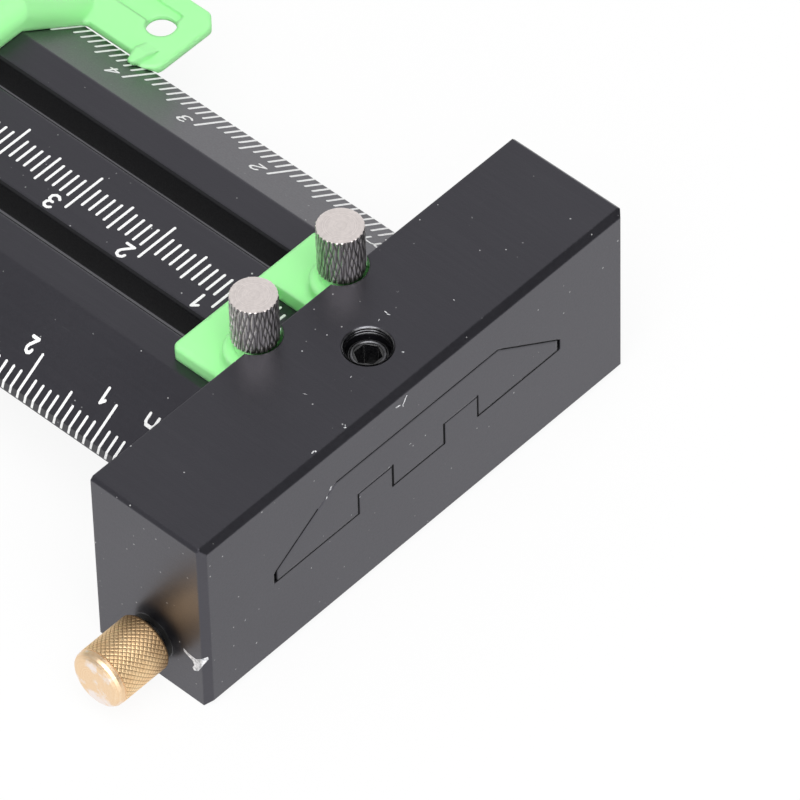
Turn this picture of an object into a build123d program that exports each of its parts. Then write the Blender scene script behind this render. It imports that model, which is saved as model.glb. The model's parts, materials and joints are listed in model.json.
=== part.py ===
"""Marking gauge: a slotted, bevelled beam in a fence block, with a parked stop plate and a cursor.

Millimetres, Z up. The origin is the middle of the edge where the fence face (plane Y = 0) meets
the underside of the block (plane Z = 0). X runs along the fence block, Y runs along the beam
away from the block.
"""
import os

from build123d import *

os.makedirs("parts", exist_ok=True)

# General clearances
running_fit = 0.05
slide_gap = 0.1
easy_gap = 0.3
overrun = 1.0

# Beam: an extruded section with bevelled sides and two nut channels underneath
beam_width = 40.0
beam_flat = 22.9
beam_thickness = 7.0
beam_tip = 1.4
beam_reach = 162.0
channel_spacing = 12.2
channel_width = 4.8
channel_depth = 2.85
slot_width = 2.7
slot_bevel = 0.3
slot_end_margin = 9.0
beam_end_chamfer = 0.5

# Fence block
block_length = 60.0
block_depth = 14.6
block_above_flat = 5.3
block_below_beam = 10.35
block_front_chamfer = 0.7
block_end_chamfer = 0.35
opening_gap = 0.12
opening_side_gap = 0.45
pocket_depth = 2.9

# Stop plate
plate_width = 20.6
plate_thickness = 1.9
plate_reach = 8.4
plate_tuck = 2.4
plate_corner = 0.8
plate_edge_round = 0.5
pad_radius = 3.25
pad_rise = 1.8
pad_edge_round = 0.4
pad_root_round = 0.4
pad_recess_depth = 0.5
boss_radius = 2.1
boss_above_flat = 5.0
window_width = 4.3
window_front = 0.5
window_back = 6.2
screw_behind_fence = 1.0
screw_notch_gap = 0.3

# Thumb screws and their nuts, shared by the stop plate and the cursor
head_radius = 2.45
head_height = 5.9
head_rim = 0.2
flute_count = 24
flute_depth = 0.14
flute_end = 0.3
shank_radius = 1.25
nut_width = 4.5
nut_length = 4.2
nut_thickness = 2.2
nut_corner = 0.3
shank_past_nut = 0.2

# Cursor
cursor_front = 50.05
cursor_length = 14.0
cursor_width = 58.9
cursor_wall = 3.0
cursor_edge_round = 2.0
cursor_screw_setback = 7.0
ear_front = 39.8
ear_lift = 1.2
ear_thickness = 1.0
ear_gap = 0.3
ear_corner = 1.4
ear_corner_round = 1.0
ear_front_round = 1.5
ear_edge_round = 0.35
ear_inner_corner = 0.4
ear_root_corner = 0.6
pencil_hole_radius = 1.65
pencil_hole_inset = 4.65
pencil_hole_behind = 3.95
recess_depth = 0.45
recess_inset = 2.2
recess_width = 2.9
recess_behind = 3.05
recess_length = 12.0
recess_corner = 0.4
lip_rise = 0.7
lip_ramp = 1.8
lip_overlap = 1.45
lip_lead = 1.95
lip_nose = 0.7
lip_length = 3.3

# Beam set screw
set_screw_behind = 8.2
set_screw_radius = 2.45
set_screw_sunk = 1.15
set_screw_chamfer = 0.5
set_screw_hex = 2.5
set_screw_hex_depth = 2.8
set_hole_chamfer = 0.15

# Scriber, stored in the left end of the block
scriber_height = 5.2
scriber_knob_radius = 3.2
scriber_knob_length = 7.1
scriber_knob_chamfer = 0.6
scriber_knob_rim = 0.3
scriber_neck_radius = 1.7
scriber_neck_length = 0.95
scriber_socket = 4.0
scriber_needle_radius = 1.0
scriber_needle_reach = 38.0
scriber_point_length = 7.0
scriber_point_radius = 0.1
bush_radius = 2.6
bush_length = 7.0
bush_slit = 0.5
bush_slit_length = 5.0
needle_bore_radius = 1.5
needle_bore_spare = 2.0

# Derived levels and places
beam_start = -block_depth
beam_length = block_depth + beam_reach
half_beam = beam_width / 2
half_flat = beam_flat / 2
beam_bottom = block_below_beam
beam_top = beam_bottom + beam_thickness
block_top = beam_top + block_above_flat
half_block = block_length / 2
slot_x = channel_spacing / 2
bolt_radius = shank_radius + running_fit
slot_front = screw_behind_fence - bolt_radius - easy_gap
slot_back = beam_reach - slot_end_margin
head_seat = beam_top + boss_above_flat
plate_bottom = beam_top + running_fit
plate_top = beam_top + plate_thickness
pad_top = plate_top + pad_rise
nut_top = beam_bottom + channel_depth - slide_gap
nut_bottom = nut_top - nut_thickness
notch_radius = head_radius + screw_notch_gap
ear_bottom = beam_bottom + ear_lift
ear_top = ear_bottom + ear_thickness
cursor_back = cursor_front + cursor_length
cursor_screw_y = cursor_front + cursor_screw_setback
set_screw_y = -set_screw_behind
scriber_y = -block_depth / 2
scriber_z = scriber_height
sides = (-1, 1)


def beam_section(gap, side_gap):
    """Corner points of the beam's section, grown by a gap, and by a gap of their own at its sides."""
    bevel_run = half_beam - half_flat
    bevel_drop = beam_thickness - beam_tip
    bevel = (bevel_run**2 + bevel_drop**2) ** 0.5
    flat_end = half_flat + gap * (bevel - bevel_run) / bevel_drop
    side_x = half_beam + side_gap
    foot = beam_bottom - gap
    tip = beam_bottom + beam_tip + (gap * bevel - side_gap * bevel_drop) / bevel_run
    return (
        (-side_x, foot),
        (-side_x, tip),
        (-flat_end, beam_top + gap),
        (flat_end, beam_top + gap),
        (side_x, tip),
        (side_x, foot),
    )


def channel_cut(gap):
    """Cuts both nut channels, each made narrower by a gap, from the current sketch."""
    foot = gap + overrun
    height = channel_depth - gap + foot
    with Locations((-slot_x, beam_bottom - foot), (slot_x, beam_bottom - foot)):
        Rectangle(
            channel_width - 2 * gap,
            height,
            align=(Align.CENTER, Align.MIN),
            mode=Mode.SUBTRACT,
        )


# Beam
with BuildPart() as beam:
    with BuildSketch(Plane.XZ.offset(block_depth)):
        with BuildLine():
            Polyline(*beam_section(0, 0), close=True)
        make_face()
        channel_cut(0)
    extrude(amount=-beam_length)
    end_face = beam.faces().sort_by(Axis.Y)[-1]
    chamfer(end_face.edges().group_by(Axis.Z)[-1], beam_end_chamfer)
    with BuildSketch(Plane.XY.offset(beam_top)):
        with Locations(*[(side * slot_x, (slot_front + slot_back) / 2) for side in sides]):
            SlotOverall(slot_back - slot_front, slot_width, rotation=90)
    extrude(amount=-(beam_thickness - channel_depth + overrun), mode=Mode.SUBTRACT)
    slot_rims = [
        edge
        for edge in beam.edges().filter_by_position(Axis.Z, beam_top, beam_top)
        if abs(abs(edge.center().X) - slot_x) < slot_width
        and slot_front < edge.center().Y + slot_width < slot_back + 2 * slot_width
    ]
    chamfer(slot_rims, slot_bevel)
beam.part.label = "beam"
export_step(beam.part, "parts/beam.step")

# Fence block
with BuildPart() as fence_block:
    with BuildSketch(Plane.XY):
        Rectangle(block_length, block_depth, align=(Align.CENTER, Align.MAX))
    extrude(amount=block_top)
    front = fence_block.faces().sort_by(Axis.Y)[0]
    chamfer(front.edges(), block_front_chamfer)
    top = fence_block.faces().sort_by(Axis.Z)[-1]
    chamfer(top.edges().filter_by(Axis.Y), block_end_chamfer)
    # Opening that carries the beam: its section with tongues for the channels
    with BuildSketch(Plane.XZ.offset(block_depth + overrun)):
        with BuildLine():
            Polyline(*beam_section(opening_gap, opening_side_gap), close=True)
        make_face()
        channel_cut(opening_gap)
    extrude(amount=-(block_depth + 2 * overrun), mode=Mode.SUBTRACT)
    # Relief behind the tongues for the parked nuts
    with BuildSketch(Plane.XY.offset(beam_bottom - opening_gap)):
        with Locations(*[(side * slot_x, 0) for side in sides]):
            Rectangle(channel_width, 2 * pocket_depth)
    extrude(amount=channel_depth + opening_gap, mode=Mode.SUBTRACT)
    # Pocket over the beam for the tucked edge of the stop plate
    with BuildSketch(Plane.XY.offset(beam_top)):
        Rectangle(plate_width + 2 * easy_gap, 2 * pocket_depth)
    extrude(amount=plate_thickness + easy_gap, mode=Mode.SUBTRACT)
    # Notches in the top edge for the two thumb screws and their bosses
    with BuildSketch(Plane.XY.offset(beam_top)):
        with Locations(*[(side * slot_x, screw_behind_fence) for side in sides]):
            Circle(notch_radius)
    extrude(amount=block_above_flat + overrun, mode=Mode.SUBTRACT)
    # Shallow recesses in the fence face behind the plate's round pads
    with BuildSketch(Plane.XY.offset(beam_top)):
        with Locations(*[(side * slot_x, 0) for side in sides]):
            Rectangle(2 * (pad_radius + easy_gap), 2 * pad_recess_depth)
    extrude(amount=plate_thickness + pad_rise + easy_gap, mode=Mode.SUBTRACT)
    # Set screw hole in the top
    with Locations(Plane.XY.offset(block_top)):
        with Locations((0, set_screw_y)):
            CounterSinkHole(
                radius=set_screw_radius + running_fit,
                counter_sink_radius=set_screw_radius + running_fit + set_hole_chamfer,
                depth=block_above_flat,
                counter_sink_angle=90,
            )
    # Stepped bore for the scriber and its bush, from the left end
    for radius, depth in (
        (bush_radius, bush_length),
        (needle_bore_radius, scriber_needle_reach + needle_bore_spare),
    ):
        with BuildSketch(Plane.YZ.offset(-half_block)):
            with Locations((scriber_y, scriber_z)):
                Circle(radius)
        extrude(amount=depth, mode=Mode.SUBTRACT)
fence_block.part.label = "fence_block"
export_step(fence_block.part, "parts/fence_block.step")

# Beam set screw, down on the beam's flat
set_screw_top = block_top - set_screw_sunk
set_screw_length = set_screw_top - beam_top
with BuildPart() as beam_set_screw:
    with BuildSketch(Plane.XY.offset(beam_top)):
        with Locations((0, set_screw_y)):
            Circle(set_screw_radius)
    extrude(amount=set_screw_length)
    chamfer(beam_set_screw.edges().filter_by(GeomType.CIRCLE), set_screw_chamfer)
    with BuildSketch(Plane.XY.offset(set_screw_top)):
        with Locations((0, set_screw_y)):
            RegularPolygon(set_screw_hex / 2, side_count=6, major_radius=False)
    extrude(amount=-set_screw_hex_depth, mode=Mode.SUBTRACT)
beam_set_screw.part.label = "beam_set_screw"
export_step(beam_set_screw.part, "parts/beam_set_screw.step")

# Scriber: a steel needle with a brass knob, pushed into a slit bush
knob_inner = -half_block - scriber_neck_length
needle_end = knob_inner - scriber_socket
shank_end = -half_block + bush_length
point_start = -half_block + scriber_needle_reach - scriber_point_length
needle_tip = -half_block + scriber_needle_reach
with BuildPart() as scriber_needle:
    with BuildSketch(Plane.XY.offset(scriber_z)):
        with BuildLine():
            Polyline(
                (needle_end, scriber_y),
                (needle_end, scriber_y + scriber_neck_radius),
                (shank_end, scriber_y + scriber_neck_radius),
                (shank_end, scriber_y + scriber_needle_radius),
                (point_start, scriber_y + scriber_needle_radius),
                (needle_tip, scriber_y + scriber_point_radius),
                (needle_tip, scriber_y),
                close=True,
            )
        make_face()
    revolve(axis=Axis((0, scriber_y, scriber_z), (1, 0, 0)))
scriber_needle.part.label = "scriber_needle"
export_step(scriber_needle.part, "parts/scriber_needle.step")

with BuildPart() as scriber_knob:
    with BuildSketch(Plane.YZ.offset(knob_inner)):
        with Locations((scriber_y, scriber_z)):
            Circle(scriber_knob_radius)
    extrude(amount=-scriber_knob_length)
    knob_rims = scriber_knob.edges().filter_by(GeomType.CIRCLE).sort_by(Axis.X)
    chamfer(knob_rims[0], scriber_knob_chamfer)
    chamfer(knob_rims[-1], scriber_knob_rim)
    with BuildSketch(Plane.YZ.offset(knob_inner)):
        with Locations((scriber_y, scriber_z)):
            Circle(scriber_neck_radius)
    extrude(amount=-scriber_socket, mode=Mode.SUBTRACT)
scriber_knob.part.label = "scriber_knob"
export_step(scriber_knob.part, "parts/scriber_knob.step")

with BuildPart() as scriber_bush:
    with BuildSketch(Plane.YZ.offset(-half_block)):
        with Locations((scriber_y, scriber_z)):
            Circle(bush_radius)
            Circle(scriber_neck_radius + running_fit, mode=Mode.SUBTRACT)
    extrude(amount=bush_length)
    with BuildSketch(Plane.YZ.offset(shank_end)):
        with Locations((scriber_y, scriber_z)):
            Rectangle(bush_slit, 2 * bush_radius + overrun)
            Rectangle(2 * bush_radius + overrun, bush_slit)
    extrude(amount=-bush_slit_length, mode=Mode.SUBTRACT)
scriber_bush.part.label = "scriber_bush"
export_step(scriber_bush.part, "parts/scriber_bush.step")

# Stop plate: a moulded plate on the beam's flat with two bosses and a scale window
with BuildPart() as stop_plate:
    with BuildSketch(Plane.XY.offset(plate_bottom)):
        with Locations((0, (plate_reach - plate_tuck) / 2)):
            RectangleRounded(plate_width, plate_reach + plate_tuck, plate_corner)
    extrude(amount=plate_top - plate_bottom)
    fillet(stop_plate.faces().sort_by(Axis.Z)[-1].edges(), plate_edge_round)
    # Round pads that end at the fence face, each with a boss up to the screw's head
    with BuildSketch(Plane.XY.offset(plate_bottom)):
        with Locations(*[(side * slot_x, screw_behind_fence) for side in sides]):
            Circle(pad_radius)
        with Locations((0, slide_gap)):
            Rectangle(plate_width, 2 * pad_radius, align=(Align.CENTER, Align.MAX), mode=Mode.SUBTRACT)
    extrude(amount=pad_top - plate_bottom)
    pad_arcs = stop_plate.edges().filter_by(GeomType.CIRCLE).filter_by(
        lambda edge: abs(edge.radius - pad_radius) < running_fit
    )
    fillet(pad_arcs.filter_by_position(Axis.Z, pad_top, pad_top), pad_edge_round)
    fillet(pad_arcs.filter_by_position(Axis.Z, plate_top, plate_top), pad_root_round)
    with BuildSketch(Plane.XY.offset(plate_bottom)):
        with Locations(*[(side * slot_x, screw_behind_fence) for side in sides]):
            Circle(boss_radius)
    extrude(amount=head_seat - plate_bottom)
    with BuildSketch(Plane.XY.offset(plate_bottom)):
        with Locations((0, (window_front + window_back) / 2)):
            Rectangle(window_width, window_back - window_front)
    extrude(amount=head_seat, mode=Mode.SUBTRACT)
    with BuildSketch(Plane.XY.offset(plate_bottom)):
        with Locations(*[(side * slot_x, screw_behind_fence) for side in sides]):
            Circle(bolt_radius)
    extrude(amount=head_seat, mode=Mode.SUBTRACT)
stop_plate.part.label = "stop_plate"
export_step(stop_plate.part, "parts/stop_plate.step")


def thumb_screw(x, y, label):
    """A knurled head standing on its seat, with a shank down through the slot to the nut."""
    with BuildPart() as screw:
        with BuildSketch(Plane.XY.offset(head_seat)):
            with Locations((x, y)):
                Circle(head_radius)
        extrude(amount=head_height)
        chamfer(screw.edges().filter_by(GeomType.CIRCLE), head_rim)
        with BuildSketch(Plane.XY.offset(head_seat + flute_end)):
            with Locations((x, y)):
                with PolarLocations(head_radius, flute_count):
                    RegularPolygon(flute_depth, side_count=4)
        extrude(amount=head_height - 2 * flute_end, mode=Mode.SUBTRACT)
        with BuildSketch(Plane.XY.offset(head_seat)):
            with Locations((x, y)):
                Circle(shank_radius)
        extrude(amount=-(head_seat - nut_bottom + shank_past_nut))
    screw.part.label = label
    export_step(screw.part, "parts/" + label + ".step")


def slot_nut(x, y, label):
    """A rectangular nut that slides in the beam's channel under the slot."""
    with BuildPart() as nut:
        with BuildSketch(Plane.XY.offset(nut_bottom)):
            with Locations((x, y)):
                RectangleRounded(nut_width, nut_length, nut_corner)
                Circle(bolt_radius, mode=Mode.SUBTRACT)
        extrude(amount=nut_thickness)
    nut.part.label = label
    export_step(nut.part, "parts/" + label + ".step")


for side, side_name in zip(sides, ("left", "right")):
    thumb_screw(side * slot_x, screw_behind_fence, "stop_thumb_screw_" + side_name)
    slot_nut(side * slot_x, screw_behind_fence, "stop_nut_" + side_name)
    thumb_screw(side * slot_x, cursor_screw_y, "cursor_thumb_screw_" + side_name)
    slot_nut(side * slot_x, cursor_screw_y, "cursor_nut_" + side_name)

# Ears of the cursor, each with a lip that reaches over the beam's edge
half_cursor = cursor_width / 2
inner_x = half_beam + ear_gap
lip_x = half_beam - lip_overlap
lip_front = ear_front + lip_lead
with BuildPart() as lip:
    with BuildSketch(Plane.XZ.offset(-ear_front)):
        with BuildLine():
            Polyline(
                (lip_x, ear_bottom),
                (lip_x, ear_top + lip_rise),
                (inner_x, ear_top + lip_rise),
                (inner_x + lip_ramp, ear_top),
                (inner_x + lip_ramp, ear_bottom),
                close=True,
            )
        make_face()
    extrude(amount=-lip_length)
    with BuildSketch(Plane.XY.offset(ear_bottom)):
        with BuildLine():
            Polyline(
                (lip_x, lip_front),
                (half_beam + ear_inner_corner, ear_front + ear_front_round),
                (inner_x + lip_ramp, ear_front + ear_front_round),
                (inner_x + lip_ramp, ear_front + lip_length),
                (inner_x, ear_front + lip_length),
                (lip_x, lip_front + lip_nose),
                close=True,
            )
        make_face()
    extrude(amount=ear_thickness + lip_rise, mode=Mode.INTERSECT)
with BuildPart() as ears:
    with BuildSketch(Plane.XY.offset(ear_bottom)) as ear:
        with BuildLine():
            Polyline(
                (half_beam + ear_inner_corner, ear_front),
                (half_cursor - ear_corner, ear_front),
                (half_cursor, ear_front + ear_corner),
                (half_cursor, cursor_back - ear_corner),
                (half_cursor - ear_corner, cursor_back),
                (inner_x - ear_root_corner, cursor_back),
                (inner_x - ear_root_corner, cursor_front),
                (inner_x, cursor_front - ear_root_corner),
                (inner_x, ear_front + lip_length),
                (lip_x, lip_front + lip_nose),
                (lip_x, lip_front),
                close=True,
            )
        make_face()
        outer_corners = ear.vertices().filter_by(
            lambda corner: corner.X > half_cursor - ear_corner - running_fit
        )
        fillet(outer_corners, ear_corner_round)
        front_corners = ear.vertices().filter_by(
            lambda corner: corner.Y < ear_front + running_fit
            and corner.X < half_beam + ear_inner_corner + running_fit
        )
        fillet(front_corners, ear_front_round)
    extrude(amount=ear_thickness)
    outer_edges = ears.edges().filter_by_position(Axis.Z, ear_top, ear_top).filter_by(
        lambda edge: edge.center().X > inner_x + ear_gap
    )
    fillet(outer_edges, ear_edge_round)
    add(lip.part)
    mirror(about=Plane.YZ)

# Cursor: a moulded saddle over the beam with an ear on each side
saddle_top = beam_top + cursor_wall
saddle_foot = half_beam + cursor_wall
with BuildPart() as cursor_body:
    with BuildSketch(Plane.XZ.offset(-cursor_front)):
        with BuildLine():
            Polyline(
                (-saddle_foot, ear_bottom),
                (-saddle_foot, ear_top),
                (-half_flat - cursor_wall / 2, saddle_top),
                (half_flat + cursor_wall / 2, saddle_top),
                (saddle_foot, ear_top),
                (saddle_foot, ear_bottom),
                close=True,
            )
        make_face()
    extrude(amount=-cursor_length)
    saddle_ends = cursor_body.faces().filter_by(Axis.Y).edges().filter_by(
        lambda edge: edge.center().Z > ear_top
    )
    fillet(saddle_ends, cursor_edge_round)
    add(ears.part)
    # Everything inside the beam's section, with its sliding gap, is open
    with BuildSketch(Plane.XZ.offset(-ear_front + overrun)):
        with BuildLine():
            Polyline(*beam_section(slide_gap, ear_gap), close=True)
        make_face()
    extrude(amount=-(cursor_back - ear_front + 2 * overrun), mode=Mode.SUBTRACT)
    # Bosses under the thumb screws
    with BuildSketch(Plane.XY.offset(saddle_top)):
        with Locations(*[(side * slot_x, cursor_screw_y) for side in sides]):
            Circle(boss_radius)
    extrude(amount=head_seat - saddle_top)
    with BuildSketch(Plane.XY.offset(beam_top)):
        with Locations(*[(side * slot_x, cursor_screw_y) for side in sides]):
            Circle(bolt_radius)
    extrude(amount=head_seat - beam_top + overrun, mode=Mode.SUBTRACT)
    # Pencil holes at the near ends of shallow pockets
    recess_x = half_cursor - recess_inset - recess_width / 2
    recess_y = ear_front + recess_behind + recess_length / 2
    pencil_hole_x = half_cursor - pencil_hole_inset
    pencil_hole_y = ear_front + pencil_hole_behind
    with BuildSketch(Plane.XY.offset(ear_top)):
        with Locations(*[(side * recess_x, recess_y) for side in sides]):
            RectangleRounded(recess_width, recess_length, recess_corner)
    extrude(amount=-recess_depth, mode=Mode.SUBTRACT)
    with BuildSketch(Plane.XY.offset(ear_top)):
        with Locations(*[(side * pencil_hole_x, pencil_hole_y) for side in sides]):
            Circle(pencil_hole_radius)
    extrude(amount=-ear_thickness - overrun, mode=Mode.SUBTRACT)
cursor_body.part.label = "cursor_body"
export_step(cursor_body.part, "parts/cursor_body.step")
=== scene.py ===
import json
import math

import bmesh
import bpy
from mathutils import Matrix, Vector


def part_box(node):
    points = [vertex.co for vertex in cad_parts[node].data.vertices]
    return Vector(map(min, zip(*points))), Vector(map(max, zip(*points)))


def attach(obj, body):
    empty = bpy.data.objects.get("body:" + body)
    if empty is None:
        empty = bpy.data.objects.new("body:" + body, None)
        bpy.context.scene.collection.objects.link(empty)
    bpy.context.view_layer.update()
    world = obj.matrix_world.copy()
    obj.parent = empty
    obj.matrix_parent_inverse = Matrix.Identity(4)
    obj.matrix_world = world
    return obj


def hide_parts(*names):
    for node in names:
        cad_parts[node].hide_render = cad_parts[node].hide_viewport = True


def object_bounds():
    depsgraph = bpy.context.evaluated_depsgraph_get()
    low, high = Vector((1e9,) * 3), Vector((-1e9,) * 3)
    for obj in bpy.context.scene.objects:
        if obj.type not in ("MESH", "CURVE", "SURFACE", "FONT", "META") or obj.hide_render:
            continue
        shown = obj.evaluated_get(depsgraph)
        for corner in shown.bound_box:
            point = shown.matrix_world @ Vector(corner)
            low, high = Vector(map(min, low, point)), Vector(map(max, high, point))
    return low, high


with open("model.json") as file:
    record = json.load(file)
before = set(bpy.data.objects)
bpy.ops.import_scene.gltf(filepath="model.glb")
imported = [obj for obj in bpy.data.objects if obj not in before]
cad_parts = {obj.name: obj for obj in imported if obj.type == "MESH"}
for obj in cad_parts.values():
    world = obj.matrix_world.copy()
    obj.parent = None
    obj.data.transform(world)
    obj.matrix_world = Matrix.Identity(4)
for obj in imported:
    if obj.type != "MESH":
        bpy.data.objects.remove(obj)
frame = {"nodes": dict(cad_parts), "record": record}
CAD_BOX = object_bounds()

# The looks of the marking gauge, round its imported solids. X runs along the block, Y along the beam
# away from it, Z up. Lengths are in metres, and in millimetres where a comment says so.
MM = 0.001
BEAM_LOW, BEAM_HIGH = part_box("beam")
BLOCK_LOW, BLOCK_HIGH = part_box("fence_block")
FLAT_Z = BEAM_HIGH.z

# Camera, fitted to the photo's scale marks and edges. Its distance, its offsets in the picture's
# plane and the place on the beam's flat that they count from are in millimetres.
FOCAL_PX, IMAGE_PX, SENSOR = 9039.88, 800.0, 36.0
AZIMUTH, ELEVATION, ROLL = (math.radians(v) for v in (-46.017, 48.085, -1.577))
OFFSET_RIGHT, OFFSET_UP, DISTANCE = -9.086, 5.643, 878.66
TARGET_X = -0.12

back = Vector(
    (
        math.sin(AZIMUTH) * math.cos(ELEVATION),
        -math.cos(AZIMUTH) * math.cos(ELEVATION),
        math.sin(ELEVATION),
    )
)
level_right = Vector((math.cos(AZIMUTH), math.sin(AZIMUTH), 0.0))
level_up = back.cross(level_right)
right = math.cos(ROLL) * level_right + math.sin(ROLL) * level_up
up = -math.sin(ROLL) * level_right + math.cos(ROLL) * level_up
eye = (-OFFSET_RIGHT * right - OFFSET_UP * up + DISTANCE * back) * MM + Vector((TARGET_X * MM, 0, FLAT_Z))

camera_data = bpy.data.cameras.new("camera")
camera_data.sensor_width = SENSOR
camera_data.lens = FOCAL_PX * SENSOR / IMAGE_PX
camera_data.clip_start = 0.01
camera_data.clip_end = 20.0
camera = bpy.data.objects.new("camera", camera_data)
bpy.context.scene.collection.objects.link(camera)
camera.matrix_world = Matrix.Translation(eye) @ Matrix((right, up, back)).transposed().to_4x4()
bpy.context.scene.camera = camera


NOISE_LOW, NOISE_HIGH = 0.3, 0.7  # a noise's usual values
SPECK_CORE = 0.6  # the part of a speck's radius that is at full strength
BEVEL_SAMPLES = 4
EDGE_START, EDGE_FULL = 0.995, 0.9  # cosines of the turn between the plain and the softened normal


class Nodes:
    """A short way to write a material's nodes."""

    def __init__(self, name):
        self.material = bpy.data.materials.new(name)
        self.material.use_nodes = True
        self.tree = self.material.node_tree
        self.shader = self.tree.nodes["Principled BSDF"]

    def add(self, kind, inputs=None, **settings):
        node = self.tree.nodes.new(kind)
        for key, value in settings.items():
            setattr(node, key, value)
        for key, value in (inputs or {}).items():
            self.put(node.inputs[key], value)
        return node

    def put(self, socket, value):
        if isinstance(value, bpy.types.NodeSocket):
            self.tree.links.new(value, socket)
        elif isinstance(value, tuple) and len(value) == 3 and len(socket.default_value) == 4:
            socket.default_value = (*value, 1.0)
        else:
            socket.default_value = value

    def coords(self, scale=(1, 1, 1)):
        texture = self.add("ShaderNodeTexCoord")
        mapping = self.add("ShaderNodeMapping", {"Vector": texture.outputs["Object"], "Scale": scale})
        return mapping.outputs["Vector"]

    def axes(self):
        """The piece's own x, y and z."""
        return self.add("ShaderNodeSeparateXYZ", {"Vector": self.coords()}).outputs

    def noise(self, scale, detail=4.0, stretch=(1, 1, 1), rough=0.5):
        node = self.add(
            "ShaderNodeTexNoise",
            {"Vector": self.coords(stretch), "Scale": scale, "Detail": detail, "Roughness": rough},
        )
        return node.outputs["Fac"]

    def ramp(self, value, low, high, start=0.0, end=1.0):
        """Goes from start to end as the value goes from low to high."""
        node = self.add(
            "ShaderNodeMapRange",
            {"Value": value, "From Min": low, "From Max": high, "To Min": start, "To Max": end},
        )
        return node.outputs["Result"]

    def vary(self, noise, start=0.0, end=1.0):
        """Goes from start to end over a noise's usual values."""
        return self.ramp(noise, NOISE_LOW, NOISE_HIGH, start, end)

    def math(self, operation, a, b=0.0, c=None):
        node = self.add("ShaderNodeMath", operation=operation)
        self.put(node.inputs[0], a)
        self.put(node.inputs[1], b)
        if c is not None:
            self.put(node.inputs[2], c)
        return node.outputs[0]

    def times(self, a, b):
        return self.math("MULTIPLY", a, b)

    def mix(self, factor, a, b):
        node = self.add("ShaderNodeMix", data_type="RGBA")
        self.put(node.inputs[0], factor)
        self.put(node.inputs[6], a)
        self.put(node.inputs[7], b)
        return node.outputs[2]

    def specks(self, scale, size, share):
        """Small scattered dots: size is their radius as a part of a cell, share how many cells have one."""
        cells = self.add("ShaderNodeTexVoronoi", {"Vector": self.coords(), "Scale": scale})
        dot = self.ramp(cells.outputs["Distance"], size * SPECK_CORE, size, 1.0, 0.0)
        split = self.add("ShaderNodeSeparateColor", {"Color": cells.outputs["Color"]})
        chosen = self.math("LESS_THAN", split.outputs[0], share)
        return self.times(dot, chosen)

    def bump(self, height, distance, strength, normal=None):
        inputs = {"Height": height, "Distance": distance, "Strength": strength}
        if normal is not None:
            inputs["Normal"] = normal
        return self.add("ShaderNodeBump", inputs).outputs["Normal"]

    def edge(self, radius):
        """Softened normal, and a mask that is 1 near the solid's sharp edges."""
        soft = self.add("ShaderNodeBevel", {"Radius": radius}, samples=BEVEL_SAMPLES).outputs["Normal"]
        plain = self.add("ShaderNodeNewGeometry").outputs["Normal"]
        dot = self.add("ShaderNodeVectorMath", operation="DOT_PRODUCT")
        self.put(dot.inputs[0], soft)
        self.put(dot.inputs[1], plain)
        return soft, self.ramp(dot.outputs["Value"], EDGE_START, EDGE_FULL)

    def finish(self, **sockets):
        for key, value in sockets.items():
            self.put(self.shader.inputs[key.replace("_", " ")], value)
        return self.material


# Places on the beam that its material knows
SLOT_X = 0.0061  # a slot's middle
SLOT_REACH = 0.0017  # from there to past its bevelled rim
RIM_START = 0.00003  # depths below the flat: where the rim starts, is still pale, and ends
RIM_PALE, RIM_END = 0.00022, 0.0003
BEAM_END_Y = -0.0142  # the beam's end in the block's face lies beyond it
NARROW_SIDE_X = 0.01996  # and its narrow sides beyond this


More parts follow.
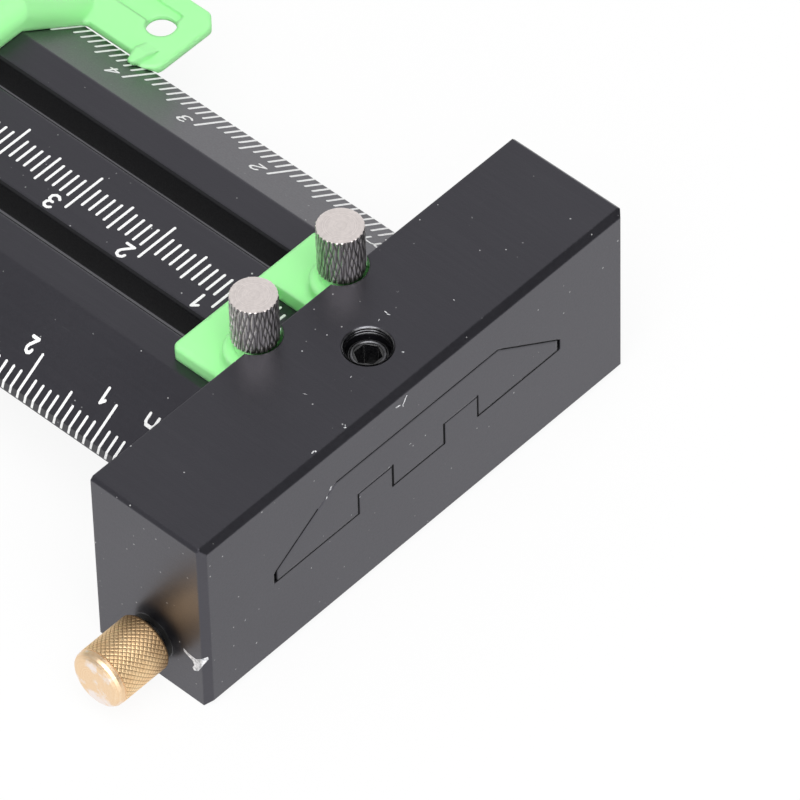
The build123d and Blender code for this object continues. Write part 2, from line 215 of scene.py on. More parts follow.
def anodised(name, beam=False):
    """Black anodised aluminium: drawn along Y, cloudy, scratched and dusty, and worn along its edges."""
    n = Nodes(name)
    edge_radius, wear = (0.0004, 0.12) if beam else (0.00022, 0.3)
    soft, edge = n.edge(edge_radius)
    grain = n.noise(5200.0, detail=3.0)
    cloud = n.noise(70.0, detail=5.0)
    drawn = n.noise(260.0, stretch=(9.0, 0.35, 9.0))
    wipe = n.noise(420.0, detail=3.0, stretch=(0.5, 12.0, 6.0))
    scratch = n.times(n.ramp(wipe, 0.74, 0.78), n.ramp(n.noise(95.0), 0.54, 0.62))
    long_wipe = n.noise(300.0, detail=2.0, stretch=(14.0, 0.25, 6.0))
    long_scratch = n.times(n.ramp(long_wipe, 0.76, 0.79), n.ramp(n.noise(60.0), 0.5, 0.6))
    dust = n.math("MAXIMUM", n.specks(420.0, size=0.058, share=0.3), n.specks(1100.0, size=0.11, share=0.2))
    dust = n.times(dust, n.ramp(n.noise(3600.0, detail=2.0), 0.42, 0.56))
    base = n.mix(n.vary(cloud), (0.0035, 0.0035, 0.0045), (0.0075, 0.0075, 0.0088))
    for amount, colour in (
        (n.times(n.ramp(drawn, 0.45, 0.75), 0.3), (0.014, 0.014, 0.0155)),
        (n.times(scratch, 0.4), (0.13, 0.13, 0.135)),
        (n.times(long_scratch, 0.5), (0.2, 0.2, 0.2)),
        (n.times(edge, n.ramp(cloud, 0.35, 0.75, 0.02, wear)), (0.07, 0.07, 0.075)),
        (n.times(dust, 0.8), (0.5, 0.5, 0.5)),
    ):
        base = n.mix(amount, base, colour)
    rough = n.vary(grain, 0.28, 0.39)
    gloss = 0.5
    if beam:
        # The slots' milled walls and rims are matte, the rims a little paler, and the narrow sides dull
        x, y, z = n.axes()
        across = n.math("ABSOLUTE", x)
        in_slot = n.math("COMPARE", across, SLOT_X, SLOT_REACH)
        below_flat = n.math("LESS_THAN", z, FLAT_Z - RIM_START)
        off_end = n.math("GREATER_THAN", y, BEAM_END_Y)
        wall = n.times(n.times(in_slot, below_flat), off_end)
        rim = n.ramp(z, FLAT_Z - RIM_END, FLAT_Z - RIM_PALE)
        base = n.mix(wall, base, n.mix(rim, (0.004, 0.004, 0.0045), (0.016, 0.016, 0.017)))
        rough = n.math("ADD", rough, n.times(wall, 0.35))
        side = n.math("GREATER_THAN", across, NARROW_SIDE_X)
        gloss = n.math("SUBTRACT", gloss, n.times(wall, 0.42))
        gloss = n.math("SUBTRACT", gloss, n.times(side, 0.24))
    normal = n.bump(grain, distance=0.000012, strength=0.5, normal=soft)
    normal = n.bump(drawn, distance=0.000015, strength=0.35, normal=normal)
    return n.finish(
        Base_Color=base,
        Roughness=rough,
        Normal=normal,
        IOR=1.76,
        Specular_IOR_Level=gloss,
        Specular_Tint=(0.88, 0.855, 1.0),
    )


def black_steel():
    n = Nodes("black_steel")
    soft, edge = n.edge(0.00012)
    grain = n.noise(3500.0)
    base = n.mix(n.ramp(grain, 0.35, 0.7), (0.004, 0.004, 0.005), (0.014, 0.014, 0.015))
    # Paler edges: partly wear, partly a painted highlight
    base = n.mix(n.times(edge, 0.4), base, (0.2, 0.2, 0.2))
    return n.finish(
        Base_Color=base,
        Roughness=n.vary(grain, 0.14, 0.28),
        Normal=n.bump(grain, distance=0.00001, strength=0.4, normal=soft),
        Specular_IOR_Level=0.9,
    )


def black_plastic():
    n = Nodes("black_plastic")
    soft, _ = n.edge(0.0001)
    grain = n.noise(3000.0)
    return n.finish(
        Base_Color=n.mix(n.vary(grain), (0.006, 0.006, 0.006), (0.016, 0.016, 0.016)),
        Roughness=n.vary(grain, 0.5, 0.65),
        Normal=n.bump(grain, distance=0.00001, strength=0.4, normal=soft),
    )


def green():
    """Moulded green plastic. The stop plate's edge that is tucked into the block, below y 0, is painted dark as
    painted shade.
    """
    painted_shade_depth = 0.0006
    n = Nodes("green_plastic")
    soft, edge = n.edge(0.0006)
    fine = n.noise(2600.0, detail=3.0)
    flow = n.noise(45.0)
    base = n.mix(n.vary(flow), (0.345, 0.9, 0.34), (0.385, 0.95, 0.375))
    base = n.mix(n.times(n.specks(260.0, size=0.12, share=0.05), 0.5), base, (0.12, 0.5, 0.14))
    # Painted highlight: paler green along the edges
    base = n.mix(n.times(edge, 0.3), base, (0.5, 1.0, 0.5))
    # Painted shade: darker green where the plate is tucked into the block's notch
    base = n.mix(n.ramp(n.axes()[1], 0.0, -painted_shade_depth), base, (0.035, 0.13, 0.035))
    return n.finish(
        Base_Color=base,
        Roughness=n.vary(fine, 0.34, 0.45),
        Normal=n.bump(fine, distance=0.00001, strength=0.4, normal=soft),
        Subsurface_Weight=0.18,
        Subsurface_Radius=(0.4, 1.0, 0.4),
        Subsurface_Scale=0.0012,
    )


def knurled_metal(name, lit, dull, groove, rough, painted_shade_start=0.0):
    """Metal whose knurl valleys, marked by the mesh, are painted dark as painted shade, as is its start if that
    has a length.
    """
    n = Nodes(name)
    height = n.add("ShaderNodeAttribute", attribute_name="knurl").outputs["Fac"]
    fine = n.noise(5200.0)
    patch = n.noise(900.0)
    base = n.mix(n.vary(patch), dull, lit)
    # Painted shade: the knurl valleys go towards the groove colour
    base = n.mix(n.ramp(height, 0.7, 0.05, 0.0, 0.85), base, groove)
    if painted_shade_start:
        # Painted shade: darker over the start, near the block
        base = n.mix(n.ramp(n.axes()[2], painted_shade_start, 0.0, 0.0, 0.75), base, groove)
    return n.finish(
        Base_Color=base,
        Metallic=1.0,
        Roughness=n.vary(fine, rough - 0.06, rough + 0.08),
        Normal=n.bump(fine, distance=0.00001, strength=0.5),
    )


def turned_metal(name, lit, dull, rough):
    """Plain turned or milled metal."""
    n = Nodes(name)
    soft, _ = n.edge(0.0001)
    fine = n.noise(4200.0, detail=5.0)
    return n.finish(
        Base_Color=n.mix(n.vary(n.noise(700.0, detail=5.0)), dull, lit),
        Metallic=1.0,
        Roughness=n.vary(fine, rough - 0.05, rough + 0.1),
        Normal=n.bump(fine, distance=0.00002, strength=0.5, normal=soft),
    )


def turned_end(name, lit, dull, rough, worn=None):
    """A faced-off end: fine rings round the piece's own axis, and paler worn patches if they have a colour."""
    n = Nodes(name)
    x, y, _ = n.axes()
    x2, y2 = (n.math("POWER", n.math("ABSOLUTE", v), 2.0) for v in (x, y))
    r = n.math("SQRT", n.math("ADD", x2, y2))
    ring = n.add("ShaderNodeTexNoise", {"Scale": 1.0, "Detail": 3.0}, noise_dimensions="1D")
    n.put(ring.inputs["W"], n.times(r, 9000.0))
    fine = n.noise(3800.0, detail=6.0)
    grain = n.math("ADD", n.times(ring.outputs["Fac"], 0.5), n.times(fine, 0.5))
    base = n.mix(n.ramp(grain, 0.32, 0.68), dull, lit)
    if worn:
        base = n.mix(n.ramp(n.noise(300.0, detail=5.0, rough=0.6), 0.53, 0.6), base, worn)
    return n.finish(
        Base_Color=base,
        Metallic=1.0,
        Roughness=n.vary(fine, rough - 0.06, rough + 0.12),
        Normal=n.bump(grain, distance=0.00002, strength=0.6),
    )


def dark_metal(name, shade, rough):
    n = Nodes(name)
    fine = n.noise(2400.0)
    return n.finish(
        Base_Color=n.mix(n.vary(fine), (shade * 0.5,) * 3, (shade, shade, shade * 1.08)),
        Metallic=1.0,
        Roughness=n.vary(fine, rough - 0.06, rough + 0.08),
        Normal=n.bump(fine, distance=0.00002, strength=0.5),
    )


def scale_paint():
    n = Nodes("scale_paint")
    fine = n.noise(3000.0)
    base = n.mix(n.ramp(fine, 0.25, 0.75), (0.78, 0.78, 0.78), (0.93, 0.93, 0.93))
    return n.finish(Base_Color=base, Roughness=0.6, Normal=n.bump(fine, distance=0.00001, strength=0.4))


def bare_aluminium():
    n = Nodes("bare_aluminium")
    fine = n.noise(2600.0, detail=5.0)
    return n.finish(
        Base_Color=n.mix(n.ramp(fine, 0.35, 0.65), (0.35, 0.36, 0.38), (0.82, 0.82, 0.84)),
        Metallic=0.4,
        Roughness=0.5,
        Normal=n.bump(fine, distance=0.00008, strength=0.8),
    )


BLACK = anodised("black_anodised")
BLACK_SLOTTED = anodised("black_anodised_slotted", beam=True)
STEEL = turned_metal("steel", (0.72, 0.69, 0.665), (0.58, 0.56, 0.54), 0.3)
STEEL_KNURL = knurled_metal("steel_knurled", (0.88, 0.85, 0.83), (0.62, 0.6, 0.58), (0.12, 0.11, 0.105), 0.33)
STEEL_END = turned_end("steel_end", (0.98, 0.905, 0.88), (0.84, 0.77, 0.745), 0.4)
BRASS = turned_metal("brass", (0.86, 0.66, 0.41), (0.70, 0.49, 0.27), 0.26)
BRASS_KNURL = knurled_metal(
    "brass_knurled", (1.0, 0.76, 0.46), (0.95, 0.66, 0.37), (0.2, 0.1, 0.035), 0.5, painted_shade_start=0.0026
)
BRASS_END = turned_end("brass_end", (0.96, 0.75, 0.52), (0.86, 0.6, 0.36), 0.4, worn=(0.93, 0.84, 0.79))
# Painted shade: dark brass for the knob's inner end, which faces the block
BRASS_PAINTED_SHADE = turned_end("brass_painted_shade", (0.2, 0.12, 0.06), (0.12, 0.07, 0.035), 0.45)
PAINT = scale_paint()

SLOT_MATERIAL = {
    "black_anodised": BLACK,
    "black_steel": black_steel(),
    "black_plastic": black_plastic(),
    "brass": BRASS,
    "steel": STEEL,
    "green_plastic": green(),
}
for part in frame["record"]["subparts"]:
    cad = frame["nodes"][part["node"]]
    for place in cad.material_slots:
        place.material = BLACK_SLOTTED if part["node"] == "beam" else SLOT_MATERIAL[part["material_slot"]]


def made_mesh(name, bm, outward=False):
    """The mesh of a finished bmesh, with its faces turned outward if asked."""
    mesh = bpy.data.meshes.new(name)
    if outward:
        bmesh.ops.recalc_face_normals(bm, faces=bm.faces)
    bm.to_mesh(mesh)
    bm.free()
    return mesh


def new_object(name, data):
    obj = bpy.data.objects.new(name, data)
    bpy.context.scene.collection.objects.link(obj)
    return obj


def piece(name, mesh, materials, body, place=None):
    """A piece that rides on a body, put in place first where it has one."""
    obj = new_object(name, mesh)
    for material in materials:
        mesh.materials.append(material)
    if place is not None:
        obj.matrix_world = place
    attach(obj, body)
    return obj


def middle(node):
    low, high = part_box(node)
    return (low.x + high.x) / 2, (low.y + high.y) / 2, (low.z + high.z) / 2


# How often each wave of a groove's wobble goes round the head, and its radians for each metre of height
WOBBLE_WAVES = ((7, 900), (11, -1700))
SECOND_WOBBLE = 0.7  # the second family's wobble against the first's
START_STEP = 0.00015  # how much narrower the plain start is


def knurled_head(name, radius, length, knurl, turns, helix, depth, land, wobble, samples, rows, ends):
    """A head along +Z from 0: plain start, knurled from knurl[0] to knurl[1], then turned ends.

    The knurl is cut by two families of V grooves that run round opposite ways, helix being
    how far round, in radians, each climbs over the length. land is the part of a half pitch
    that a groove takes, wobble how unevenly the grooves run, and ends the (radius, height)
    points of the plain end after the knurl.
    """
    bm = bmesh.new()
    layer = bm.verts.layers.float.new("knurl")
    columns = turns * samples

    def height(angle, z):
        part = z / length * helix
        slow, quick = (math.sin(around * angle + along * z) for around, along in WOBBLE_WAVES)
        shake = wobble * slow + wobble * quick
        a = ((angle + part) * turns / (2 * math.pi) + shake) % 1.0
        b = ((angle - part) * turns / (2 * math.pi) - shake * SECOND_WOBBLE) % 1.0
        near = min(abs(a - round(a)), abs(b - round(b))) * 2.0
        return min(1.0, near / land)

    def ring(z, base, cut=0.0):
        out = []
        for i in range(columns):
            angle = 2 * math.pi * i / columns
            h = height(angle, z) if cut > 0 else 1.0
            r = base - cut * (1.0 - h)
            v = bm.verts.new((r * math.cos(angle), r * math.sin(angle), z))
            v[layer] = h
            out.append(v)
        return out

    def bridge(a, b, index):
        for i in range(columns):
            j = (i + 1) % columns
            face = bm.faces.new((a[i], a[j], b[j], b[i]))
            face.material_index = index
            face.smooth = True

    last = ring(0.0, radius - START_STEP)
    bm.faces.new(list(reversed(last))).material_index = 1
    for k in range(rows + 1):
        this = ring(knurl[0] + (knurl[1] - knurl[0]) * k / rows, radius, depth)
        bridge(last, this, 0)
        last = this
    # Each ring from here on is made twice, which keeps the edge there sharp
    last = ring(knurl[1], radius, depth)
    for r, z in ends:
        bridge(last, ring(z, r), 1)
        last = ring(z, r)
    bm.faces.new(last).material_index = 1
    return made_mesh(name, bm, outward=True)


def cone(bm, bottom_radius, top_radius, middle_z, length):
    made = bmesh.ops.create_cone(
        bm, cap_ends=True, segments=SHANK_SIDES, radius1=bottom_radius, radius2=top_radius, depth=length
    )
    bmesh.ops.translate(bm, verts=made["verts"], vec=(0, 0, middle_z))


# Thumb screws: knurled heads on threaded shanks
HEAD_LENGTH = 0.0059
HEAD_TURN = 0.3
CREST_RADIUS = 0.00125
ROOT_RADIUS = CREST_RADIUS * 0.86
SHANK_PITCH = 0.0005
SHANK_SIDES = 32
CORE_START = 0.0003
CORE_OVERLAP = 0.0001

head_mesh = knurled_head(
    "thumb_head",
    radius=0.00244,
    length=HEAD_LENGTH,
    knurl=(0.0001, 0.00582),
    turns=30,
    helix=0.44,
    depth=0.00013,
    land=0.62,
    wobble=0.12,
    samples=8,
    rows=72,
    ends=((0.00236, HEAD_LENGTH), (0.0016, HEAD_LENGTH), (0.0006, HEAD_LENGTH)),
)
for name, body in (
    ("stop_thumb_screw_left", "stop_screw_left"),
    ("stop_thumb_screw_right", "stop_screw_right"),
    ("cursor_thumb_screw_left", "cursor_screw_left"),
    ("cursor_thumb_screw_right", "cursor_screw_right"),
):
    low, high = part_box(name)
    axis_x, axis_y, _ = middle(name)
    seat = high.z - HEAD_LENGTH
    place = Matrix.Translation((axis_x, axis_y, seat)) @ Matrix.Rotation(HEAD_TURN, 4, "Z")
    head = piece(name + "_head", head_mesh.copy(), (STEEL_KNURL, STEEL_END), body, place)
    bm = bmesh.new()
    core_low, core_high = low.z + CORE_START, seat + CORE_OVERLAP
    cone(bm, ROOT_RADIUS, ROOT_RADIUS, (core_low + core_high) / 2, core_high - core_low)
    # Each turn of the thread is a cone that widens and one that narrows
    for k in range(int((seat - low.z) / SHANK_PITCH)):
        cone(bm, ROOT_RADIUS, CREST_RADIUS, low.z + SHANK_PITCH * (k + 0.25), SHANK_PITCH / 2)
        cone(bm, CREST_RADIUS, ROOT_RADIUS, low.z + SHANK_PITCH * (k + 0.75), SHANK_PITCH / 2)
    shank = made_mesh(name + "_shank", bm)
    piece(name + "_thread", shank, (STEEL,), body, Matrix.Translation((axis_x, axis_y, 0.0)))
    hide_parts(name)

# Scriber knob: plain lengths at its start and end, and its rounded end as steps in from its radius
# and back from its length, round a flat whose radius is a part of its own
KNOB_START, KNOB_END = 0.0002, 0.00115
KNOB_FLAT = 0.4
KNOB_STEPS = (
    (0.0001, 0.0011),
    (0.0001, 0.00102),
    (0.00002, 0.00098),
    (0.00005, 0.00065),
    (0.0002, 0.00033),
    (0.0005, 0.0001),
    (0.0009, 0.0),
)
low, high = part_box("scriber_knob")
knob_radius = (high.z - low.z) / 2
knob_length = high.x - low.x
knob_mesh = knurled_head(
    "scriber_knob_mesh",
    radius=knob_radius,
    length=knob_length,
    knurl=(KNOB_START, knob_length - KNOB_END),
    turns=34,
    helix=2.2,
    depth=0.00005,
    land=0.3,
    wobble=0.0,
    samples=10,
    rows=110,
    ends=[(knob_radius - inward, knob_length - down) for inward, down in KNOB_STEPS]
    + [(knob_radius * KNOB_FLAT, knob_length)],
)
knob_mesh.polygons[0].material_index = 2  # its inner end, in the third material
_, knob_y, knob_z = middle("scriber_knob")
knob = piece(
    "scriber_knob_knurled",
    knob_mesh,
    (BRASS_KNURL, BRASS_END, BRASS_PAINTED_SHADE),
    "scriber",
    Matrix.Translation((high.x, knob_y, knob_z)) @ Matrix.Rotation(-math.pi / 2, 4, "Y"),
)
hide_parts("scriber_knob")

# Scales, in millimetres: rows of bars and digits on the beam's flat and on its sloping sides
HALF_BEAM = BEAM_HIGH.x / MM
HALF_FLAT = 11.45
FLAT_MM = FLAT_Z / MM
TIP_THICKNESS = 1.4
TIP_Z = BEAM_LOW.z / MM + TIP_THICKNESS
SLOPE = (FLAT_MM - TIP_Z) / (HALF_BEAM - HALF_FLAT)
LIFT = 0.02  # how far the paint stands above the beam
LINE = 0.145  # half of a mark's width
LAST_MARK = 150
MARK_X = -0.3  # how far the print sits off the beam's middle
EDGE_DROP = 1.2  # how far a mark's end runs down the beam's narrow side
LEAN = 0.3  # how far the left ends lean on the way
UNIT_Y = 3.95
CAP_STEPS = 6
GLYPH_WIDTH = 1.3
GLYPH_PITCH = 1.15  # as a part of the width
GLYPH_MIDDLE = 1.05
STROKE_STEP, STROKE_LEVELS = 0.003, 5


def arc(centre_u, centre_v, radius_u, radius_v, steps):
    """A closed oval from its lowest point."""
    angles = [k * 2 * math.pi / steps for k in range(steps + 1)]
    return [(centre_u + radius_u * math.sin(a), centre_v - radius_v * math.cos(a)) for a in angles]


# Strokes of each character as (u, v) points, u along its width and v up
GLYPHS = {
    "0": [arc(0.65, 1.05, 0.5, 0.9, 16)],
    "1": [[(0.25, 1.5), (0.75, 1.95), (0.75, 0.15)]],
    "2": [
        [(0.2, 1.5), (0.3, 1.8), (0.65, 1.97), (1.0, 1.8), (1.1, 1.45), (0.95, 1.1), (0.15, 0.15), (1.15, 0.15)],
    ],
    "3": [
        [(0.2, 1.7), (0.45, 1.93), (0.8, 1.93), (1.05, 1.7), (1.05, 1.35), (0.8, 1.1), (0.5, 1.08)],
        [(0.8, 1.1), (1.1, 0.85), (1.12, 0.45), (0.85, 0.17), (0.45, 0.15), (0.15, 0.4)],
    ],
    "4": [[(0.85, 0.15), (0.85, 1.95), (0.1, 0.65), (1.2, 0.65)]],
    "5": [
        [(1.05, 1.95), (0.3, 1.95), (0.2, 1.12), (0.6, 1.25), (0.95, 1.15), (1.13, 0.8), (1.05, 0.4), (0.7, 0.13)],
        [(0.7, 0.13), (0.35, 0.2), (0.13, 0.45)],
    ],
    "6": [
        [(0.95, 1.9), (0.5, 1.45), (0.22, 0.9), (0.2, 0.5), (0.45, 0.17), (0.85, 0.17), (1.1, 0.45)],
        [(1.1, 0.45), (1.08, 0.85), (0.8, 1.1), (0.45, 1.05), (0.22, 0.75)],
    ],
    "7": [[(0.15, 1.95), (1.15, 1.95), (0.5, 0.15)]],
    "8": [arc(0.65, 1.5, 0.4, 0.44, 12), arc(0.65, 0.6, 0.48, 0.46, 12)],
    "9": [
        [(0.35, 0.2), (0.8, 0.65), (1.08, 1.2), (1.1, 1.6), (0.85, 1.93), (0.45, 1.93), (0.2, 1.65)],
        [(0.2, 1.65), (0.22, 1.25), (0.5, 1.0), (0.85, 1.05), (1.08, 1.35)],
    ],
    "c": [
        [(1.0, 0.75), (0.75, 1.0), (0.4, 1.0), (0.15, 0.65), (0.15, 0.2), (0.4, -0.12), (0.75, -0.12), (1.0, 0.1)],
    ],
    "m": [
        [(0.1, -0.15), (0.1, 1.1)],
        [(0.1, 0.75), (0.4, 1.1), (1.3, 1.1), (1.6, 0.75), (1.6, -0.15)],
        [(1.6, 0.75), (1.9, 1.1), (2.8, 1.1), (3.1, 0.75), (3.1, -0.15)],
    ],
}


def surface_z(x):
    """Height of the beam's scale side, at a distance x from its middle."""
    return FLAT_MM - max(0.0, abs(x) - HALF_FLAT) * SLOPE


def stroke(bm, a, b, half, level, square=False):
    """A bar on the beam from a to b, round at both ends or square at a.

    half is half of its width, and level how far its top stands above the beam.
    """
    direction = (Vector(b) - Vector(a)).normalized()
    start = math.atan2(direction.y, direction.x)
    round_cap = range(CAP_STEPS + 1)
    outline = []
    for centre, turn, steps in (
        (b, -math.pi / 2, round_cap),
        (a, math.pi / 2, (0, CAP_STEPS) if square else round_cap),
    ):
        for k in steps:
            angle = start + turn + math.pi * k / CAP_STEPS
            outline.append((centre[0] + half * math.cos(angle), centre[1] + half * math.sin(angle)))
    top, foot = (
        [bm.verts.new((x * MM, y * MM, (surface_z(x) + offset) * MM)) for x, y in outline]
        for offset in (level, -LIFT)
    )
    bm.faces.new(top)
    for i in range(len(top)):
        j = (i + 1) % len(top)
        bm.faces.new((foot[i], foot[j], top[j], top[i]))


def written(bm, text, centre_x, centre_y, size, half):
    """Characters whose tops point to -X and that read along +Y. Strokes overlap, so each is a hair higher."""
    start = centre_y - GLYPH_WIDTH * len(text) * size / 2
    for k, character in enumerate(text):
        left = k * GLYPH_WIDTH * GLYPH_PITCH
        for run in GLYPHS[character]:
            points = [(centre_x + (GLYPH_MIDDLE - v) * size, start + (left + u) * size) for u, v in run]
            for step, (a, b) in enumerate(zip(points, points[1:])):
                stroke(bm, a, b, half, LIFT + STROKE_STEP * (step % STROKE_LEVELS))


def over_the_edge(bm, x, y, lean):
    """A mark's end that runs on down the beam's narrow side, leaning towards +Y."""
    out = x + math.copysign(LIFT, x)
    inside = x - math.copysign(LIFT, x)
    low_z, high_z = TIP_Z - EDGE_DROP, TIP_Z + LIFT
    corners = [
        [bm.verts.new((px * MM, py * MM, pz * MM)) for px in (inside, out)]
        for py, pz in ((y - LINE + lean, low_z), (y + LINE + lean, low_z), (y + LINE, high_z), (y - LINE, high_z))
    ]
    bm.faces.new([pair[1] for pair in corners])
    for i in range(4):
        one, two = corners[i], corners[(i + 1) % 4]
        bm.faces.new((one[0], two[0], two[1], one[1]))


def add_scale(name, reach, digit_x, digit_shift, size, half, edge=0.0, shift_y=0.0, lean=0.0):
    """A scale of marks, from the beam's edge, or else from the other side of its middle, to each kind's reach.

    size and half are the digits' scale and half of their strokes' width.
    """
    bm = bmesh.new()
    digit_x += MARK_X
    for mark in range(1, LAST_MARK + 1):
        y = mark + shift_y
        end = reach["long" if mark % 10 == 0 else "medium" if mark % 5 == 0 else "short"]
        stroke(bm, (edge or MARK_X - end, y), (end + MARK_X, y), LINE, LIFT, bool(edge))
        if edge:
            over_the_edge(bm, edge, y, lean)
        if mark % 10 == 0:
            written(bm, str(mark // 10), digit_x, y + digit_shift, size, half)
    if edge:
        written(bm, "cm", digit_x, UNIT_Y, size, half)
    piece(name, made_mesh(name, bm, outward=True), (PAINT,), "gauge")


add_scale(
    "scale_middle",
    {"long": 2.57, "medium": 1.78, "short": 1.26},
    digit_x=-2.92,
    digit_shift=1.6,
    size=1.0,
    half=0.16,
)
add_scale(
    "scale_left",
    {"long": -16.15, "medium": -17.35, "short": -18.25},
    digit_x=-16.0,
    digit_shift=1.65,
    size=0.77,
    half=0.155,
    edge=-HALF_BEAM,
    shift_y=0.12,
    lean=LEAN,
)
add_scale(
    "scale_right",
    {"long": 15.75, "medium": 16.95, "short": 17.95},
    digit_x=15.65,
    digit_shift=1.35,
    size=0.92,
    half=0.13,
    edge=HALF_BEAM,
)

# Wear on the block, in millimetres, each outline in the plane of the face that it lies on
PROUD, TOP_PROUD = 0.015, 0.005  # how far it stands off the side faces and off the top
LEFT_X = BLOCK_LOW.x / MM - PROUD
FRONT_Y = BLOCK_LOW.y / MM - PROUD
TOP_Z = BLOCK_HIGH.z / MM + TOP_PROUD
CHAMFER = 0.7


def on_block(face, u, v):
    """A point on a face of the block, in metres."""
    if face == "top":
        point = (u, v, TOP_Z)
    elif face == "front":
        point = (u, FRONT_Y, v)
    elif face == "left":
        point = (LEFT_X, u, v)
    else:
        point = (LEFT_X - (u - FRONT_Y - CHAMFER), u, v)
    return Vector(point) * MM


def add_face(bm, face, outline):
    bm.faces.new([bm.verts.new(on_block(face, u, v)) for u, v in outline])


# Flecks of lint and small scratches: face, place, length, width, and angle in degrees
FLECK_SIDES = 8
FLECKS = (
    ("top", 4.42, -6.45, 0.45, 0.12, 85),
    ("top", 4.38, -6.85, 0.45, 0.12, 110),
    ("top", 3.2, -6.66, 0.35, 0.06, 20),
    ("top", -1.56, -4.25, 0.16, 0.12, 30),
    ("top", -4.7, -3.9, 0.2, 0.15, 60),
    ("top", 1.71, -11.22, 0.28, 0.16, 120),
    ("top", 9.99, -10.28, 0.2, 0.1, 80),
    ("top", -13.5, -13.58, 0.45, 0.16, 10),
    ("top", -13.25, -13.7, 0.25, 0.18, 70),
    ("top", -9.15, -13.72, 0.3, 0.14, 140),
    ("top", -8.95, -13.55, 0.35, 0.08, 40),
    ("top", -8.56, -7.91, 0.5, 0.05, 115),
    ("top", -4.0, -9.7, 0.25, 0.06, 15),
    ("front", -1.15, 14.24, 0.26, 0.24, 0),
    ("front", -4.2, 13.4, 0.2, 0.12, 45),
    ("front", 1.0, 13.7, 0.16, 0.12, 0),
    ("front", -8.3, 12.6, 0.3, 0.07, 20),
    ("front", -9.6, 11.0, 0.25, 0.06, 70),
    ("front", -24.6, 8.5, 0.35, 0.08, 60),
)
# Chips in the anodising: face and outline
CHIPS = (
    (
        "left",
        (
            (-11.5, 6.64),
            (-12.05, 6.42),
            (-12.78, 6.33),
            (-13.13, 6.28),
            (-13.9, 6.9),
            (-13.9, 5.7),
            (-13.35, 4.67),
            (-12.8, 4.37),
            (-12.58, 4.66),
            (-12.9, 5.25),
            (-12.63, 5.69),
            (-12.03, 5.97),
            (-11.54, 6.24),
        ),
    ),
    ("left chamfer", ((-13.9, 6.9), (-14.35, 7.2), (-14.4, 6.85), (-14.0, 6.0), (-13.9, 5.7))),
    (
        "front",
        (
            (-1.35, 21.5),
            (-1.6, 21.2),
            (-1.72, 20.9),
            (-1.95, 20.65),
            (-1.9, 20.35),
            (-2.05, 20.35),
            (-2.1, 20.7),
            (-1.9, 20.95),
            (-1.75, 21.25),
            (-1.5, 21.6),
        ),
    ),
    ("front", ((-2.35, 20.85), (-2.9, 20.9), (-3.1, 21.15), (-2.8, 21.1), (-2.4, 21.0))),
    ("front", ((-12.1, 17.45), (-12.35, 17.4), (-12.5, 17.05), (-12.25, 16.95))),
    ("front", ((-12.8, 16.55), (-12.95, 16.5), (-13.0, 16.2), (-12.8, 16.25))),
    ("front", ((-1.1, 14.3), (-1.25, 14.25), (-1.2, 14.1), (-1.08, 14.15))),
)
bm = bmesh.new()
for face, u, v, length, width, degrees in FLECKS:
    cos_turn, sin_turn = math.cos(math.radians(degrees)), math.sin(math.radians(degrees))
    angles = [k * 2 * math.pi / FLECK_SIDES for k in range(FLECK_SIDES)]
    oval = [(length / 2 * math.cos(a), width / 2 * math.sin(a)) for a in angles]
    add_face(bm, face, [(u + a * cos_turn - b * sin_turn, v + a * sin_turn + b * cos_turn) for a, b in oval])
for face, outline in CHIPS:
    add_face(bm, face, outline)
piece("anodising_chips", made_mesh("anodising_chips", bm, outward=True), (bare_aluminium(),), "gauge")

# Painted shade: dark strips over the joint round the beam's end, standing in for the shade in its depth: start,
# end and half of the width, on the block's front
JOINT = (
    ((-20.2, 11.75), (-14.2, 15.72), 0.085),
    ((-20.1, 10.29), (-8.5, 10.29), 0.05),
    ((-8.56, 10.29), (-8.56, 13.1), 0.075),
    ((-3.64, 13.2), (-3.64, 10.29), 0.11),
    ((-3.64, 10.29), (3.64, 10.29), 0.065),
    ((3.64, 10.29), (3.64, 13.1), 0.105),
    ((8.5, 13.2), (8.5, 10.29), 0.08),
    ((8.5, 10.29), (20.2, 10.29), 0.085),
    ((-11.45, 17.42), (11.45, 17.42), 0.04),
    ((12.0, 17.1), (20.1, 11.8), 0.05),
)
bm = bmesh.new()
for start, end, half in JOINT:
    a, b = Vector(start), Vector(end)
    along = (b - a).normalized()
    side = Vector((-along.y, along.x)) * half
    reach = along * half
    add_face(bm, "front", (a - reach - side, b + reach - side, b + reach + side, a - reach + side))
# Painted shade for the joint's depth
JOINT_PAINTED_SHADE = Nodes("joint_painted_shade").finish(
    Base_Color=(0.002, 0.002, 0.0025), Roughness=0.8, Specular_IOR_Level=0.12
)
piece("joint_line", made_mesh("joint_line", bm, outward=True), (JOINT_PAINTED_SHADE,), "gauge")


def revolved(bm, profile):
    """A surface of revolution about Z through (radius, height) points."""
    steps = 48
    turns = [2 * math.pi * i / steps for i in range(steps)]
    rings = []
    for r, z in profile:
        rings.append([bm.verts.new((r * math.cos(a), r * math.sin(a), z)) for a in turns])
    for one, two in zip(rings, rings[1:]):
        for i in range(steps):
            j = (i + 1) % steps
            bm.faces.new((one[j], one[i], two[i], two[j])).smooth = True


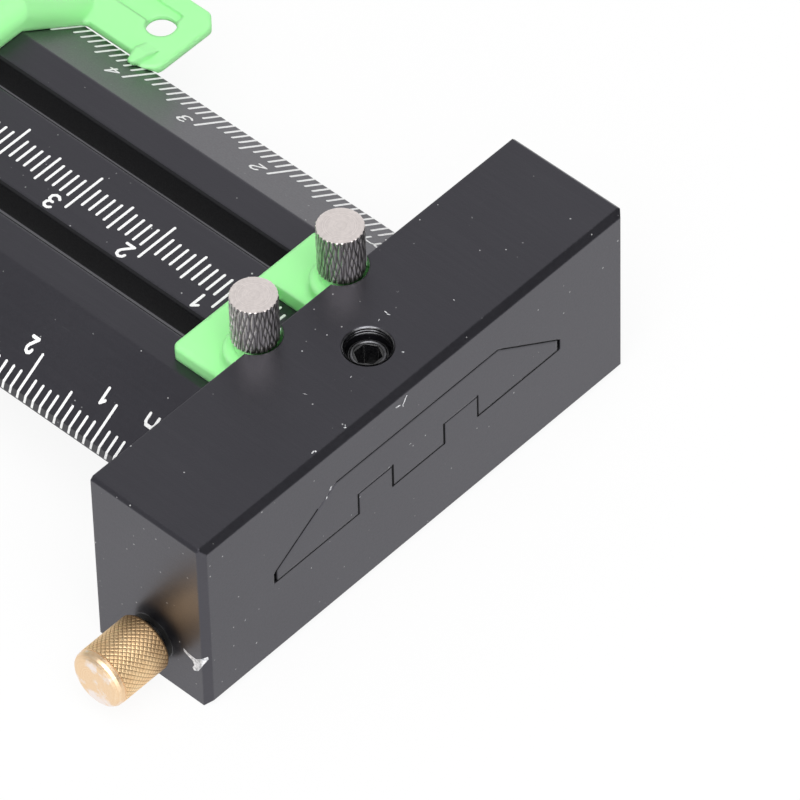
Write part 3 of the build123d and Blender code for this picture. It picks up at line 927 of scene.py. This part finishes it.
# The set screw's lip, which turns with it, and the thread of its hole above it
HOLE_PITCH = 0.00036
HOLE_ROOT, HOLE_CREST = 0.00255, 0.0023
HOLE_START, HOLE_END = 0.0001, 0.0003  # above the screw and below the block's top
LIP_RADIUS, LIP_ROUND, LIP_FLATNESS, LIP_STEPS = 0.00168, 0.0002, 0.7, 8
screw_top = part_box("beam_set_screw")[1].z
thread_z, thread_top = screw_top + HOLE_START, BLOCK_HIGH.z - HOLE_END
hole_bm = bmesh.new()
while thread_z < thread_top:
    crest_z, next_z = thread_z + HOLE_PITCH / 2, thread_z + HOLE_PITCH
    revolved(hole_bm, ((HOLE_ROOT, thread_z), (HOLE_CREST, crest_z), (HOLE_ROOT, next_z)))
    thread_z += HOLE_PITCH
lip_bm = bmesh.new()
half_turn = [math.pi * k / LIP_STEPS for k in range(LIP_STEPS, -1, -1)]
lip_height = LIP_ROUND * LIP_FLATNESS
revolved(
    lip_bm,
    [(LIP_RADIUS + LIP_ROUND * math.cos(a), screw_top + lip_height * math.sin(a)) for a in half_turn],
)
screw_x, screw_y, _ = middle("beam_set_screw")
for name, bm, material, body, slot in (
    ("set_screw_hole_thread", hole_bm, dark_metal("thread_wall", 0.24, 0.2), "gauge", "black_anodised"),
    ("set_screw_lip", lip_bm, dark_metal("screw_lip", 0.2, 0.28), "set_screw", "black_steel"),
):
    piece(name, made_mesh(name, bm), (material,), body, Matrix.Translation((screw_x, screw_y, 0.0)))

# The floor, a hair under the gauge, glows white for the camera and for reflections, as the photo's background does
FLOOR_HALF = 6.0
FLOOR_GAP = 0.00005
FLOOR_GLOW = 0.9
WORLD_STRENGTH = 0.45
bm = bmesh.new()
bmesh.ops.create_grid(bm, x_segments=1, y_segments=1, size=FLOOR_HALF)
floor = new_object("floor", made_mesh("floor", bm))
floor.location.z = CAD_BOX[0].z - FLOOR_GAP

n = Nodes("floor")
path = n.add("ShaderNodeLightPath")
seen = n.math("MAXIMUM", path.outputs["Is Camera Ray"], path.outputs["Is Glossy Ray"])
seen = n.math("MAXIMUM", seen, path.outputs["Is Transmission Ray"])
glow = n.add("ShaderNodeEmission", {"Color": (1.0, 1.0, 1.0), "Strength": 1.0})
n.finish(Base_Color=(0.86, 0.86, 0.86), Roughness=0.9, Specular_IOR_Level=0.0)
blend = n.add("ShaderNodeMixShader", {0: n.times(seen, FLOOR_GLOW)})
n.tree.links.new(n.shader.outputs[0], blend.inputs[1])
n.tree.links.new(glow.outputs[0], blend.inputs[2])
n.tree.links.new(blend.outputs[0], n.tree.nodes["Material Output"].inputs[0])
floor.data.materials.append(n.material)

world = bpy.data.worlds.new("world")
bpy.context.scene.world = world
world.use_nodes = True
tree = world.node_tree
background = tree.nodes["Background"]
background.inputs["Strength"].default_value = WORLD_STRENGTH


def world_band(direction, low, high, start, end):
    """A grey that goes from start to end as a ray turns towards a direction."""
    coordinate = tree.nodes.new("ShaderNodeTexCoord")
    dot = tree.nodes.new("ShaderNodeVectorMath")
    dot.operation = "DOT_PRODUCT"
    tree.links.new(coordinate.outputs["Generated"], dot.inputs[0])
    dot.inputs[1].default_value = Vector(direction).normalized()
    ramp = tree.nodes.new("ShaderNodeMapRange")
    ramp.interpolation_type = "SMOOTHSTEP"
    tree.links.new(dot.outputs["Value"], ramp.inputs["Value"])
    for key, value in (("From Min", low), ("From Max", high), ("To Min", start), ("To Max", end)):
        ramp.inputs[key].default_value = value
    return ramp.outputs["Result"]


# A white room that is darker above the block's front and right end, and brighter low behind it on the right
product = tree.nodes.new("ShaderNodeMath")
product.operation = "MULTIPLY"
tree.links.new(world_band((0.48, -0.74, 0.46), 0.5, 0.9, 1.0, 0.3), product.inputs[0])
tree.links.new(world_band((0.88, 0.47, 0.08), 0.6, 0.95, 1.0, 2.6), product.inputs[1])
tree.links.new(product.outputs[0], background.inputs["Color"])

# Lamps: name, place, target, size and power
for name, location, target, size, power in (
    ("key", (-0.75, -0.95, 0.6), (0, 0.02, 0), 2.2, 21.0),
    ("top", (-0.4, -0.35, 1.25), (0, 0.03, 0), 1.2, 12.5),
):
    data = bpy.data.lights.new(name, "AREA")
    data.shape = "SQUARE"
    data.size = size
    data.energy = power
    lamp = new_object(name, data)
    lamp.location = location
    lamp.rotation_mode = "QUATERNION"
    lamp.rotation_quaternion = (Vector(location) - Vector(target)).to_track_quat("Z", "Y")

bpy.context.scene.view_settings.view_transform = "Standard"
